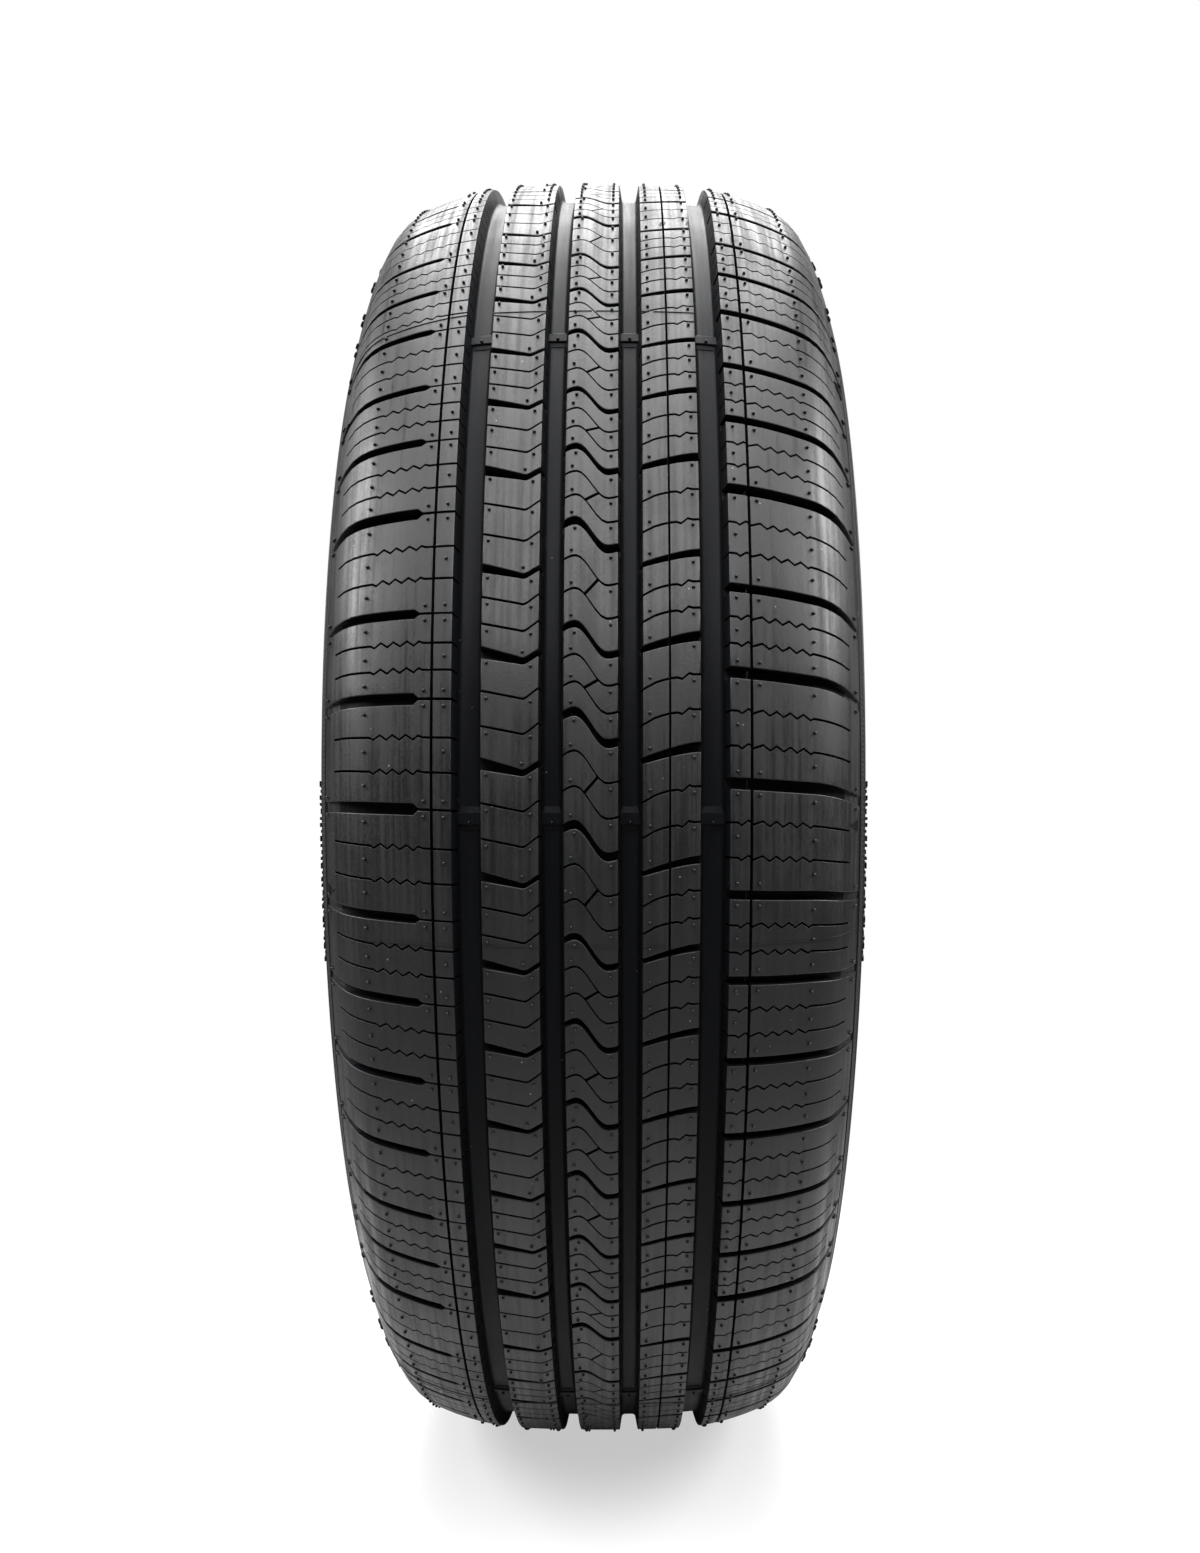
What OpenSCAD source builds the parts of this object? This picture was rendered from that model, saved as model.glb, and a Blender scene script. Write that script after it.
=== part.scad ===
/* [Overall size] */
// Outer diameter over the middle of the tread
outer_d = 702; // [660:1:740]
// Width over the sidewalls at their widest
section_w = 227; // [212:1:240]
// Diameter of the bead seats, the size of the rim that the tyre fits
seat_d = 436.6; // [425:0.1:446]
// Distance between the outer faces of the two beads, the width of the rim
rim_w = 165; // [156:1:174]

/* [Crown and shoulders] */
// Half width of the nearly flat middle of the crown
crown_half = 40; // [34:1:46]
// Radius of the middle of the crown, seen in section
crown_r = 900; // [500:10:1500]
// Radius of the outer crown, seen in section
outer_crown_r = 130; // [110:5:160]
// Half width of the part of the tread that meets the road
tread_half = 87; // [82:0.5:90]
// Radius of the rounded shoulder
shoulder_r = 30; // [24:1:34]
// Slope at which the shoulder passes into the sidewall
shoulder_slope = 60; // [55:1:64]

/* [Walls] */
// Thickness at the middle of the crown, from the liner to the top of a block
crown_t = 17.5; // [15:0.5:21]
// Thickness of the sidewall at its widest
side_t = 6.8; // [6:0.1:9]
// Radius of the hollow's crown, seen in section
liner_crown_r = 500; // [400:10:700]
// Half width of the hollow's crown
liner_half = 70; // [64:1:74]
// Slope at which the hollow's shoulder ends
liner_slope = 80; // [76:1:84]
// Radius of the hollow's lower sidewall, seen in section
liner_lower_r = 40; // [34:1:46]
// Turn of the hollow's lower sidewall, in degrees
liner_lower_turn = 50; // [44:1:54]

/* [Sidewall rings] */
// Radii of the low rings on each sidewall
ring_at = [300, 258];
// Height of the rings
ring_h = 0.7; // [0.3:0.1:1.2]
// Width of the rings
ring_w = 1.6; // [1:0.1:3]
// Width of the line at the edge of the shoulder
edge_line_w = 1.2; // [0.6:0.1:2]
// Radius of that line, where the shoulder slots end
edge_line_r = 311; // [308:0.5:314]

/* [Beads] */
// Length of the round seat at each bead
seat_land = 10; // [8:0.5:12]
// Radius of the heel, between the seat and the outer face
heel_r = 6.5; // [5:0.5:7.5]
// Width of the bead from the outer face to the toe
bead_w = 21; // [19.5:0.5:24]
// How far the toe lifts off the seat
toe_lift = 1.2; // [0.5:0.1:2]
// Radius of the hollow that takes the rim's flange
flange_r = 9.5; // [8.5:0.5:11]
// Height of the rib that guards the rim, above the flange
guard_h = 6; // [4:0.5:8]
// How far that rib stands out sideways from the bead's outer face
guard_out = 26; // [22:0.5:28]

/* [Main grooves] */
// Depth of the four main grooves
groove_depth = 8; // [7:0.1:9]
// Width of the two inner grooves at the top
inner_groove_w = 9.6; // [8:0.1:11]
// Width of the two outer grooves at the top
outer_groove_w = 11.4; // [9:0.1:13]
// Distance from the middle to the middle of an inner groove
inner_groove_at = 15.05; // [14:0.05:16]
// Distance from the middle to the middle of an outer groove
outer_groove_at = 47.3; // [46:0.1:49]
// Slope of the groove walls from upright
groove_draft = 10; // [5:1:14]

/* [Narrow grooves] */
// Places of the three narrow grooves across the tread
narrow_at = [-60.6, 30, 61.2];
// Widths of the three narrow grooves
narrow_w = [1.2, 0.8, 1.2];
// Depth of the narrow grooves
narrow_depth = 4; // [2:0.5:6]

/* [Slots] */
// Depth of the slots across the ribs
slot_depth = 6; // [4:0.1:6.2]
// Width of a shoulder slot in a medium pitch
shoulder_slot_w = 3.6; // [3:0.1:4.5]
// Place from which the floor of a shoulder slot comes up
slot_rise_from = 82; // [78:0.5:86]
// Two more places on its way out
slot_rise_at = [95, 104];
// Depths of a shoulder slot at those two places
slot_rise_depth = [4.2, 1.9];
// Depth of a shoulder slot at the line at the edge
slot_end_depth = 1; // [0.5:0.1:2]
// Place of the closed end of the left shoulder slots
closed_end_at = 67; // [65:0.5:70]
// Width of a slot across the middle rib in a medium pitch, along the tread
middle_slot_w = 2.7; // [2:0.1:3.2]
// Width of a slot across the bent rib, left of the middle, at its left end
bent_slot_w = 3.7; // [3:0.1:4.2]
// Width of that slot from the bend to its right end
bent_slot_end = 2; // [1.5:0.1:3]
// Width of a slot across the curved rib, right of the middle, at its right end
curved_slot_w = 3.1; // [2.5:0.1:3.6]
// Width of that slot at its left end
curved_slot_end = 2; // [1.5:0.1:2.5]

/* [Wear bars] */
// Height of the wear bars above the groove floor
bar_h = 1.6; // [1.6:0.1:1.9]
// Length of a wear bar round the tyre
bar_l = 9; // [6:0.5:12]
// Places of the wear bars, in degrees above the front
bar_at = [0.5, 36.1, 82, 128, 174, 221, 262, 306.4];

/* [Pitch] */
// Order of short, medium and long pitches round the tyre, going down from the first
pitch_order = "SSMSMLMLLMMMMSSLMSMLMSSMMLLMSSMLMMSSSMLLMMSMLMSSMLMLMSSMMLMMSSML";
// Length of a short pitch as a share of a medium one
short_share = 0.86; // [0.75:0.01:0.9]
// Length of a long pitch as a share of a medium one
long_share = 1.26; // [1.1:0.01:1.35]
// Where the first pitch starts, in degrees above the front
first_at = 47.5; // [0:0.1:360]

/* [Hidden] */

rubber = "dimgray";
outer_r = outer_d / 2;
side_half = section_w / 2;
seat_r = seat_d / 2;
rim_half = rim_w / 2;

// Angle that a length of 1 mm takes along the tread
mm = 360 / (PI * outer_d);

// How deep the wear bars are rooted in the groove's floor and walls
bar_root = 0.4;

// Largest turn between two points of a round stretch, in degrees
tread_step = 12;
side_step = 12;
liner_step = 20;
bead_step = 30;
round_sides = 180;

// Points along an arc of the section that starts at p heading h0 degrees downwards
function arc(p, r, h0, h1, step = side_step) = let (n = max(1, ceil(abs(h1 - h0) / step)))
    [for (i = [1 : n]) let (h = h0 + (h1 - h0) * i / n)
        [p[0] + r * (sin(h) - sin(h0)), p[1] + r * (cos(h) - cos(h0))]];
function last(list) = list[len(list) - 1];
function mirrored(list) = [for (p = list) [-p[0], p[1]]];
function reversed(list) = [for (i = [len(list) - 1 : -1 : 0]) list[i]];
function all_but_first(list) = [for (i = [1 : len(list) - 1]) list[i]];

// Outside, from the middle of the crown to the widest point
crown_slope = asin(crown_half / crown_r);
tread_slope = asin(sin(crown_slope) + (tread_half - crown_half) / outer_crown_r);
crown_arc = concat([[0, outer_r]], arc([0, outer_r], crown_r, 0, crown_slope));
outer_crown_arc = arc(last(crown_arc), outer_crown_r, crown_slope, tread_slope, tread_step);
shoulder_arc = arc(last(outer_crown_arc), shoulder_r, tread_slope, shoulder_slope, tread_step);
shoulder_end = last(shoulder_arc);
upper_side_r = (side_half - shoulder_end[0]) / (1 - sin(shoulder_slope));
upright = 90;
upper_side_arc = arc(shoulder_end, upper_side_r, shoulder_slope, upright);
widest = last(upper_side_arc);

// Rib that guards the rim, from its rounded edge to the flange's hollow
flange_gap = 1.5;
flange_top = seat_r + heel_r + flange_gap + flange_r;
guard_edge = 1.5;
guard_face = [2, -2];
guard_rise = 9;
guard_foot = [6, 1.5];
guard_top = [rim_half + guard_out - guard_edge, flange_top + guard_h + guard_rise];
guard = [
    [rim_half + guard_out, flange_top + guard_h + guard_face[0]],
    [rim_half + guard_out - guard_edge, flange_top + guard_h + guard_face[1]],
    [rim_half + guard_out - guard_foot[0], flange_top + guard_foot[1]],
    [rim_half + flange_r, flange_top]
];

// Outside, from the widest point to the toe of the bead
lower_turn = 2 * atan((widest[0] - guard_top[0]) / (widest[1] - guard_top[1]));
lower_side_r = (widest[1] - guard_top[1]) / sin(lower_turn);
lower_side_arc = arc(widest, lower_side_r, upright, upright + lower_turn);
flange_seat = [for (t = [bead_step : bead_step : 90])
    [rim_half + flange_r * (1 - sin(t)), flange_top - flange_r * (1 - cos(t))]];
heel = [for (t = [0 : bead_step : 90])
    [rim_half - heel_r * (1 - cos(t)), seat_r + heel_r * (1 - sin(t))]];
toe_round = [1, 1.5];
toe = [
    [rim_half - heel_r - seat_land, seat_r],
    [rim_half - bead_w + toe_round[0], seat_r + toe_lift],
    [rim_half - bead_w, seat_r + toe_lift + toe_round[1]]
];
outside = concat(crown_arc, outer_crown_arc, shoulder_arc, upper_side_arc, lower_side_arc,
    guard, flange_seat, heel, toe);

// Inside, from the middle of the crown to the toe of the bead
liner_r = outer_r - crown_t;
liner_turn = asin(liner_half / liner_crown_r);
liner_crown = concat([[0, liner_r]], arc([0, liner_r], liner_crown_r, 0, liner_turn));
liner_side = [side_half - side_t, widest[1]];
liner_rest = 1.3;
liner_span = liner_side[0] - liner_half - liner_rest;
liner_shoulder_r = liner_span / (sin(liner_slope) - sin(liner_turn));
liner_shoulder = arc(last(liner_crown), liner_shoulder_r, liner_turn, liner_slope, liner_step);
liner_lower = arc(liner_side, liner_lower_r, upright, upright + liner_lower_turn, liner_step);
liner_foot = [8.5, 15.5];
liner_toe = [16, 8];
liner = concat(liner_crown, liner_shoulder, [liner_side], liner_lower,
    [[rim_half - liner_foot[0], seat_r + liner_foot[1]], [rim_half - liner_toe[0], seat_r + liner_toe[1]]]);

// Closed outline of the whole section, without grooves
module section() {
    half = concat(outside, reversed(liner));
    other_half = concat(outside, reversed(all_but_first(liner)));
    polygon(concat(half, reversed(mirrored(all_but_first(other_half)))));
}

// Radius and slope of the tread's surface at a distance from the middle
tread_surface = concat(crown_arc, outer_crown_arc, shoulder_arc, upper_side_arc);
function surface_r(a) = lookup(abs(a), tread_surface);
function surface_slope(a, d = 1) = atan((surface_r(abs(a) - d) - surface_r(abs(a) + d)) / (2 * d));

// Distance from the middle of the sidewall's surface at a radius
side_surface = reversed(concat([shoulder_end], upper_side_arc, lower_side_arc));
function side_a(r) = lookup(r, [for (p = side_surface) [p[1], p[0]]]);

// Trapezoid with a bevelled floor that cuts one main groove
module groove_cut(a, w) {
    r = surface_r(a);
    lean = tan(groove_draft);
    over = 4;
    bevel = 1;
    floor_half = w / 2 - lean * (groove_depth - bevel);
    side = [
        [w / 2 + lean * over, r + over],
        [floor_half, r - groove_depth + bevel],
        [floor_half - bevel, r - groove_depth]
    ];
    translate([a, 0]) polygon(concat(side, reversed(mirrored(side))));
}

// Main grooves, narrow grooves and the line at the edge of each shoulder
module grooves() {
    for (s = [-1, 1]) {
        groove_cut(s * inner_groove_at, inner_groove_w);
        groove_cut(s * outer_groove_at, outer_groove_w);
        translate([s * side_a(edge_line_r), edge_line_r]) square(edge_line_w, center = true);
    }
    for (i = [0 : len(narrow_at) - 1])
        translate([narrow_at[i] - narrow_w[i] / 2, surface_r(narrow_at[i]) - narrow_depth])
            square([narrow_w[i], 2 * narrow_depth]);
}

// Low rings that stand out on the sidewalls
module side_rings() {
    for (s = [-1, 1], r = ring_at)
        translate([s * side_a(r), r]) square([2 * ring_h, ring_w], center = true);
}

// Turns a section about the axle, from the front downwards
module turned(angle = 360) {
    rotate([-90, 0, 0]) rotate_extrude(angle = angle, $fn = round_sides) mirror([1, -1]) children();
}

// Turns a piece drawn at the front up round the tyre
module up(angle) {
    rotate([0, -angle, 0]) children();
}

// Section of a wear bar that fills the bottom of one main groove
module bar_section(a, w) {
    r = surface_r(a) - groove_depth;
    half_w = w / 2 - tan(groove_draft) * (groove_depth - bar_h) + bar_root;
    translate([a - half_w, r - bar_root]) square([2 * half_w, bar_root + bar_h]);
}

// The ring turned from the grooved section, with the wear bars in its grooves
module ring() {
    bar_turn = bar_l * mm;
    turned() difference() {
        union() {
            section();
            side_rings();
        }
        grooves();
    }
    for (angle = bar_at, s = [-1, 1]) up(angle + bar_turn / 2) {
        turned(bar_turn) bar_section(s * inner_groove_at, inner_groove_w);
        turned(bar_turn) bar_section(s * outer_groove_at, outer_groove_w);
    }
}

// Share of a medium pitch that each pitch takes, and where each one starts
function share(i) = pitch_order[i] == "S" ? short_share : pitch_order[i] == "L" ? long_share : 1;
pitches = len(pitch_order);
function shares_before(i) = i == 0 ? 0 : shares_before(i - 1) + share(i - 1);
medium = 360 / shares_before(pitches);
function pitch_at(i) = first_at - medium * shares_before(i);

// Edges of the ribs and how far a cut runs on into the grooves
middle_edge = inner_groove_at - inner_groove_w / 2;
rib_in = inner_groove_at + inner_groove_w / 2;
rib_out = outer_groove_at - outer_groove_w / 2;
shoulder_in = outer_groove_at + outer_groove_w / 2;
run_on = 2.5;

// Line of the slots across the middle rib: a crest, a long fall and a trough
crest = [4.1, 1.6];
trough = [16.6, -10.8];
right_end = -10;
wave_steps = 7;
run_on_fall = [1.2, 0.8];
function eased(t) = (1 - cos(180 * t)) / 2;
function wave(u) =
    u < crest[0] ? crest[1] * cos(90 * (crest[0] - u) / crest[0]) :
    u < trough[0] ? crest[1] + (trough[1] - crest[1]) * eased((u - crest[0]) / (trough[0] - crest[0])) :
    trough[1] + (right_end - trough[1]) * (1 - cos(90 * (u - trough[0]) / (2 * middle_edge - trough[0])));
middle_line = concat([[-middle_edge - run_on, -run_on_fall[0], middle_slot_w]],
    [for (i = [0 : wave_steps]) let (u = 2 * middle_edge * i / wave_steps)
        [u - middle_edge, wave(u), middle_slot_w]],
    [[middle_edge + run_on, right_end + run_on_fall[1], middle_slot_w]]);

// Line of the slots across the bent rib: a fall to a rounded bend and a short rise
bend_at = 5.85;
bend_fall = 3.6;
bend_rise = 3.4;
bend_round = 1.3;
bend_lift = 0.2;
bend_x = -rib_in - bend_at;
fall_slope = bend_fall / (bend_x + rib_out);
rise_slope = bend_rise / bend_at;
bent_line = [
    [-rib_out - run_on, run_on * fall_slope, bent_slot_w],
    [bend_x - bend_round, bend_round * fall_slope - bend_fall, bent_slot_end],
    [bend_x, bend_lift - bend_fall, bent_slot_end],
    [bend_x + bend_round, bend_round * rise_slope - bend_fall, bent_slot_end],
    [-rib_in + run_on, bend_rise - bend_fall + run_on * rise_slope, bent_slot_end]
];

// Line of the slots across the curved rib, flattening to the right
curve_fall = 5.4;
curve_power = 1.4;
curve_steps = 4;
curve_span = rib_out - rib_in + 2 * run_on;
curved_line = [for (i = [0 : curve_steps]) let (t = i / curve_steps, x = rib_in - run_on + curve_span * t)
    [x, -curve_fall * pow(max(0, rib_out - x) / (rib_out - rib_in), curve_power),
        curved_slot_end + (curved_slot_w - curved_slot_end) * t]];

// Angles at which each row of slots stands off the start of its pitch
left_lead = -2.13;
bent_lead = 1.15;
middle_lead = -2.85;
curved_lead = 2.2;
right_lead = 0.35;

// Tilt of the shoulder slots, up to the left and down to the right
shoulder_tilt = -2.5;

// Band along a line of points, each with the width along the tread that the band has there
module ribbon(line, scale_w) {
    polygon(concat([for (p = line) [p[0], p[1] + p[2] * scale_w / 2]],
        reversed([for (p = line) [p[0], p[1] - p[2] * scale_w / 2]])));
}

// Cuts a band across a rib near the middle, down to the depth of the slots
module rib_slot(line, scale_w) {
    clear = 3;
    translate([outer_r, 0, 0]) rotate([90, 0, 90]) translate([0, 0, -slot_depth])
        linear_extrude(slot_depth + clear) ribbon(line, scale_w);
}

// Point in section at a depth below the tread's surface, measured square to it
function below(a, depth) = let (slope = surface_slope(a))
    [a - depth * sin(slope), surface_r(a) - depth * cos(slope)];

// Outline, in section, of a shoulder slot from x out to the line at the edge, where its floor comes up
module shoulder_slot_section(x) {
    over = 8;
    clear = 4;
    end = side_a(edge_line_r);
    rise = [for (i = [0 : len(slot_rise_at) - 1]) below(slot_rise_at[i], slot_rise_depth[i])];
    polygon(concat(
        [[x, surface_r(x) - slot_depth], below(slot_rise_from, slot_depth)],
        rise,
        [below(end, slot_end_depth), below(end, -clear), [end + over, outer_r + over], [x, outer_r + over]]
    ));
}
module shoulder_slot(x, s, w) {
    rotate([180, 0, 90]) linear_extrude(w, center = true) {
        if (s > 0) shoulder_slot_section(x);
        else mirror([1, 0]) shoulder_slot_section(x);
    }
}

// One row of slots round the tyre, each as wide as its pitch gives it
module left_slots() {
    for (i = [0 : pitches - 1]) up(pitch_at(i) + left_lead)
        rotate([shoulder_tilt, 0, 0]) shoulder_slot(closed_end_at, -1, shoulder_slot_w * share(i));
}
module bent_slots() {
    for (i = [0 : pitches - 1]) up(pitch_at(i) + bent_lead) rib_slot(bent_line, share(i));
}
module middle_slots() {
    for (i = [0 : pitches - 1]) up(pitch_at(i) + middle_lead) rib_slot(middle_line, share(i));
}
module curved_slots() {
    for (i = [0 : pitches - 1]) up(pitch_at(i) + curved_lead) rib_slot(curved_line, share(i));
}
module right_slots() {
    for (i = [0 : pitches - 1]) up(pitch_at(i) + right_lead)
        rotate([shoulder_tilt, 0, 0]) shoulder_slot(shoulder_in - run_on, 1, shoulder_slot_w * share(i));
}

module tyre() {
    color(rubber) difference() {
        ring();
        left_slots();
        bent_slots();
        middle_slots();
        curved_slots();
        right_slots();
    }
}

tyre();
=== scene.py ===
# %% [markdown]
# # A car tyre, dressed in Blender
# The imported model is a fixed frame: one moulded piece, the tyre. It has the right size, section, grooves and
# slots, but not the thin cuts, the rounded edges, the vent pips or the rubber. Here the whole surface is built
# again on the same measures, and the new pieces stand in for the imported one.

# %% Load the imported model
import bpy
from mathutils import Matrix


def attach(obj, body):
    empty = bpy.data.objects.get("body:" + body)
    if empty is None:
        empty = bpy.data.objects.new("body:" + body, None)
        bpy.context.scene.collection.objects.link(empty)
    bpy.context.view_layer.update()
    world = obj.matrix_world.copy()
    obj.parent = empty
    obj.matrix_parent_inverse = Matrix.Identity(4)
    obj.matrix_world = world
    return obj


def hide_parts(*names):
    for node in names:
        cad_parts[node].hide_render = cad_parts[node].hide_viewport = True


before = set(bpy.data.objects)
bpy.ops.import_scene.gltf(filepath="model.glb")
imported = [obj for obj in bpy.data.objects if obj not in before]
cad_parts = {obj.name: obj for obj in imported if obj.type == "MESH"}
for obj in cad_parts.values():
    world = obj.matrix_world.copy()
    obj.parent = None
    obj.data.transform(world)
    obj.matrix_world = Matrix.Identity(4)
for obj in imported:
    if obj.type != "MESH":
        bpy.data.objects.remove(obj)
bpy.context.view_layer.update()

# %% [markdown]
# Lengths below are in millimetres, as a mould maker writes them, and MM turns them into Blender's metres.

# %% Tools, units and the main sizes
import math
import bpy
import bmesh
import mathutils
import numpy as np

MM = 0.001
OUTER_R = 351.0  # over the tread
SIDE_HALF = 113.5  # from the middle to the widest point of the sidewall
TREAD_HALF = 87.0  # from the middle to where the shoulder starts to turn down
EDGE_AT = 107.6  # from the middle to the line that ends the shoulder
FLOOR_Z = -OUTER_R * MM
ROUND = 2 * math.pi * OUTER_R
DEGREE = math.radians(1) * OUTER_R
print("once round the tread is", round(ROUND, 1), "mm, a degree is", round(DEGREE, 2), "mm")

# %% [markdown]
# ## The surface that everything lies on
# A tyre's tread is drawn flat, as a long strip, and then wrapped round. The strip's place across the tyre is
# the distance from the middle, and the section's arcs give the radius and the slope there. Drawing flat keeps
# each cut simple, where cutting a finished ring would mean a Boolean for each of hundreds of slots.

# %% Arcs of the section, from the middle to the widest point
CROWN_R, OUTER_CROWN_R, SHOULDER_R = 900.0, 130.0, 30.0
CROWN_HALF = 40.0
SHOULDER_SLOPE = math.radians(60)
ARCS = [(0.0, OUTER_R, CROWN_R, 0.0)]


def next_arc(radius, at=None, slope=None):
    """Ends the last arc at a distance from the middle, or at a slope, and starts the next one there."""
    a0, r0, rad, s0 = ARCS[-1]
    s1 = slope if at is None else math.asin(math.sin(s0) + (at - a0) / rad)
    across = a0 + rad * (math.sin(s1) - math.sin(s0))
    ARCS.append((across, r0 + rad * (math.cos(s1) - math.cos(s0)), radius, s1))


next_arc(OUTER_CROWN_R, at=CROWN_HALF)
next_arc(SHOULDER_R, at=TREAD_HALF)
next_arc(None, slope=SHOULDER_SLOPE)
edge_a, edge_r, _, edge_slope = ARCS[-1]
SIDE_R = (SIDE_HALF - edge_a) / (1 - math.sin(edge_slope))
ARCS[-1] = (edge_a, edge_r, SIDE_R, edge_slope)
WIDEST_R = edge_r - SIDE_R * math.cos(edge_slope)
print("arcs", [tuple(round(v, 2) for v in arc) for arc in ARCS], "widest at", round(WIDEST_R, 1))


# %% From the flat strip to the tyre
def surface(across):
    """Radius and slope of the tyre's surface at a distance from the middle."""
    a = np.abs(np.asarray(across, float))
    radius, slope = np.zeros_like(a), np.zeros_like(a)
    for a0, r0, rad, s0 in ARCS:
        turn = np.arcsin(np.clip(math.sin(s0) + (a - a0) / rad, -1, 1))
        here = a >= a0
        radius = np.where(here, r0 + rad * (np.cos(turn) - math.cos(s0)), radius)
        slope = np.where(here, turn, slope)
    return radius, slope


def wrapped(flat):
    """Points of the flat strip (along, across, up, in mm), wrapped round the tyre, in metres."""
    along, across, up = flat.T
    radius, slope = surface(across)
    a = across + np.sign(across) * up * np.sin(slope)
    r = radius + up * np.cos(slope)
    turn = along / OUTER_R
    return np.stack([r * np.cos(turn), a, r * np.sin(turn)], 1) * MM


# %% [markdown]
# ## Small helpers
# Operators act on whatever is selected, so each helper starts from nothing selected.

# %% Helpers that add and select
def add_shape(name, primitive, **sizes):
    """Adds a primitive on its own, and moves its place and size from the object into the mesh."""
    bpy.ops.object.select_all(action="DESELECT")
    primitive(**sizes)
    piece = bpy.context.object
    piece.name = name
    bpy.ops.object.transform_apply(location=True, rotation=True, scale=True)
    return piece


def only(piece):
    if bpy.context.object and bpy.context.object.mode != "OBJECT":
        bpy.ops.object.mode_set(mode="OBJECT")
    bpy.ops.object.select_all(action="DESELECT")
    piece.select_set(True)
    bpy.context.view_layer.objects.active = piece


def edit(piece, *steps):
    """Runs each step in edit mode, with the whole mesh selected at the start."""
    only(piece)
    bpy.ops.object.mode_set(mode="EDIT")
    bpy.ops.mesh.select_all(action="SELECT")
    for step in steps:
        step()
    bpy.ops.object.mode_set(mode="OBJECT")


# %% Helpers for the points of a mesh
def points_of(piece):
    points = np.zeros(len(piece.data.vertices) * 3)
    piece.data.vertices.foreach_get("co", points)
    return points.reshape(-1, 3)


def set_points(piece, points):
    piece.data.vertices.foreach_set("co", np.ascontiguousarray(points, float).ravel())
    piece.data.update()


def wrap(piece):
    set_points(piece, wrapped(points_of(piece) / MM))


# %% Steps for edit mode
def select_none():
    bpy.ops.mesh.select_all(action="DESELECT")


def merge(distance=0.01 * MM):
    bpy.ops.mesh.remove_doubles(threshold=distance)


def outwards():
    bpy.ops.mesh.normals_make_consistent(inside=False)


def join_seam(distance=0.45 * MM):
    """Merges the points of open edges, where the ends of a grid meet and the bevel left them a hair apart."""
    bpy.ops.mesh.select_mode(type="VERT")
    select_none()
    bpy.ops.mesh.select_non_manifold(extend=False, use_wire=False, use_boundary=True, use_multi_face=False,
                                     use_non_contiguous=False, use_verts=False)
    bpy.ops.mesh.remove_doubles(threshold=distance)
    bpy.ops.mesh.select_all(action="SELECT")


# %% Shading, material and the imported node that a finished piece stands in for
def finish_piece(piece, material, angle=30, weighted=False):
    only(piece)
    bpy.ops.object.shade_smooth_by_angle(angle=math.radians(angle))
    if weighted:
        even = piece.modifiers.new("even shading", "WEIGHTED_NORMAL")
        even.keep_sharp = True
        even.weight = 80
        bpy.ops.object.modifier_apply(modifier=even.name)
    piece.data.materials.clear()
    piece.data.materials.append(material)
    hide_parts("tyre")
    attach(piece, "root")
    piece.data.calc_loop_triangles()
    print(piece.name, len(piece.data.loop_triangles), "triangles")


# %% [markdown]
# ## The pitch
# Real treads repeat one pattern in three lengths, in a mixed order, so that the tyre doesn't hum. The order
# goes round the tyre from the first slot, and every row of blocks follows it.

# %% Where each pitch starts, in mm round the tyre
PITCH_ORDER = "SSMSMLMLLMMMMSSLMSMLMSSMMLLMSSMLMMSSSMLLMMSMLMSSMLMLMSSMMLMMSSML"
SHARE = {"S": 0.86, "M": 1.0, "L": 1.26}  # of a medium pitch
FIRST_AT = math.radians(47.5) * OUTER_R
PITCHES = len(PITCH_ORDER)
shares = np.array([SHARE[letter] for letter in PITCH_ORDER])
medium = ROUND / shares.sum()
starts = FIRST_AT - medium * np.concatenate([[0], np.cumsum(shares)])
print(PITCHES, "pitches, a medium one is", round(medium, 2), "mm")

# %% [markdown]
# ## One row of blocks
# A row of blocks is a closed tube of four sides: the top that meets the road, two groove walls and a hidden
# bottom. It starts as one grid, whose rows follow the edges of the cuts. The faces between the two edges of a
# cut are extruded and pushed down, which makes its walls. Then the rims are bevelled and the tube is wrapped.

# %% Rows of the grid: nine for each pitch
ROWS = 9
SLOT_BAND, SIPE_BANDS = 1, (4, 7)  # which gaps between two rows are the slot and the two thin cuts, or sipes
CUT_BANDS = (SLOT_BAND, *SIPE_BANDS)
SIPE_SHARES = (0.35, 0.665)  # where the sipes cross, as shares of the pitch
SIPE_W = 0.9
DEPTH = 6.0  # of slots and sipes
BOTTOM = 9.0  # of the tube, hidden in the body of the tyre
LEAN = math.tan(math.radians(10))  # of the walls of the main grooves


def row_lines(columns, slot_line, sipe_line, slot_w, lead, other_columns=None):
    """Place across and along of every point of the grid. other_columns serves the rows of the second sipe."""
    second = columns if other_columns is None else other_columns
    lines = []
    for i in range(PITCHES + 1):
        size = shares[i % PITCHES]
        start = starts[i % PITCHES] - (ROUND if i == PITCHES else 0) + lead * DEGREE
        slot, half = start + slot_line(columns), slot_w(columns) * size / 2
        sipe1 = start - SIPE_SHARES[0] * size * medium + sipe_line(columns)
        sipe2 = start - SIPE_SHARES[1] * size * medium + sipe_line(second)
        lines.append([slot + half, slot - half, sipe1 + SIPE_W / 2, sipe1 - SIPE_W / 2,
                      sipe2 + SIPE_W / 2, sipe2 - SIPE_W / 2])
    along = []
    for i in range(PITCHES):
        before = lines[(i - 1) % PITCHES][5] + (ROUND if i == 0 else 0)
        up, low, up1, low1, up2, low2 = lines[i]
        along += [(before + up) / 2, up, low, (low + up1) / 2, up1, low1, (low1 + up2) / 2, up2, low2]
    along.append((lines[PITCHES - 1][5] + lines[PITCHES][0]) / 2)
    between = (columns + second) / 2
    across = [between, columns, columns, columns, columns, columns, between, second, second] * PITCHES
    return np.array(across + [between]), np.array(along)


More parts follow.
